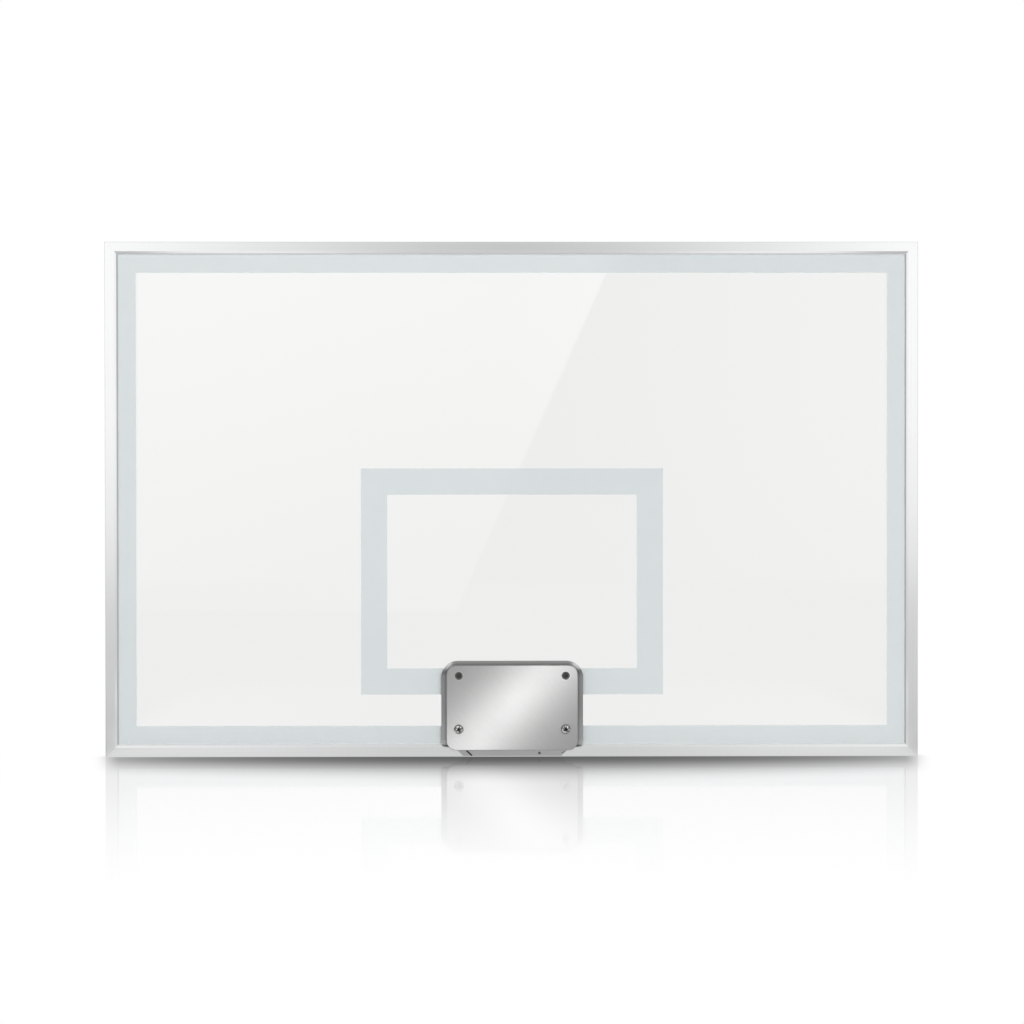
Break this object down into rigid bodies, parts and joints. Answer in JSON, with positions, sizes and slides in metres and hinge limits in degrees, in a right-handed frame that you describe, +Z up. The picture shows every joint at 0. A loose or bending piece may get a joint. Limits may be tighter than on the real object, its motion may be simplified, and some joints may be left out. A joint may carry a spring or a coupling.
{
  "type": "basketball backboard",
  "caption": "Rectangular clear glass basketball backboard in a mitred aluminium frame, with a printed border and target and a bevelled plate for fixing the rim.",
  "frame": {"origin": "centre of the four rear mounting holes, in the plane of the corner plates' back faces", "axes": "+X to the right as seen by a player, +Y towards the support behind the board, +Z up"},
  "size_m": [1.524, 0.0735, 0.9652],
  "materials": {
    "frame_aluminium": "satin anodised",
    "cast_key": "as cast",
    "coated_steel": "powder coated grey",
    "zinc_steel": "zinc plated",
    "clear_glass": "clear, polished",
    "gasket_rubber": "matte",
    "pad_rubber": "matte",
    "printed_enamel": "glossy pale grey print",
    "base_steel": "dark satin",
    "stainless_plate": "brushed stainless",
    "bright_screw": "bright stainless",
    "black_steel": "black oxide"
  },
  "bodies": {
    "root": {"top_rail": "frame_aluminium", "bottom_rail": "frame_aluminium", "left_rail": "frame_aluminium", "right_rail": "frame_aluminium", "corner_key_top_left": "cast_key", "corner_key_top_right": "cast_key", "corner_key_bottom_left": "cast_key", "corner_key_bottom_right": "cast_key", "rear_bracket": "coated_steel", "corner_plate_top_left": "coated_steel", "corner_plate_top_right": "coated_steel", "corner_plate_bottom_left": "coated_steel", "corner_plate_bottom_right": "coated_steel", "corner_screws": "zinc_steel", "mount_nuts": "zinc_steel", "spacer_sleeves": "zinc_steel", "goal_washers": "zinc_steel", "goal_lock_nuts": "zinc_steel", "glass_pane": "clear_glass", "gasket_top": "gasket_rubber", "gasket_bottom": "gasket_rubber", "gasket_left": "gasket_rubber", "gasket_right": "gasket_rubber", "front_pad": "pad_rubber", "rear_pad": "pad_rubber", "glass_grommets": "pad_rubber", "setting_blocks": "pad_rubber", "edge_blocks": "pad_rubber", "border_marking": "printed_enamel", "target_marking": "printed_enamel", "goal_base": "base_steel", "goal_plate": "stainless_plate", "goal_plate_screws": "bright_screw", "rim_bushes": "black_steel", "base_set_screw": "black_steel"}
  },
  "joints": []
}
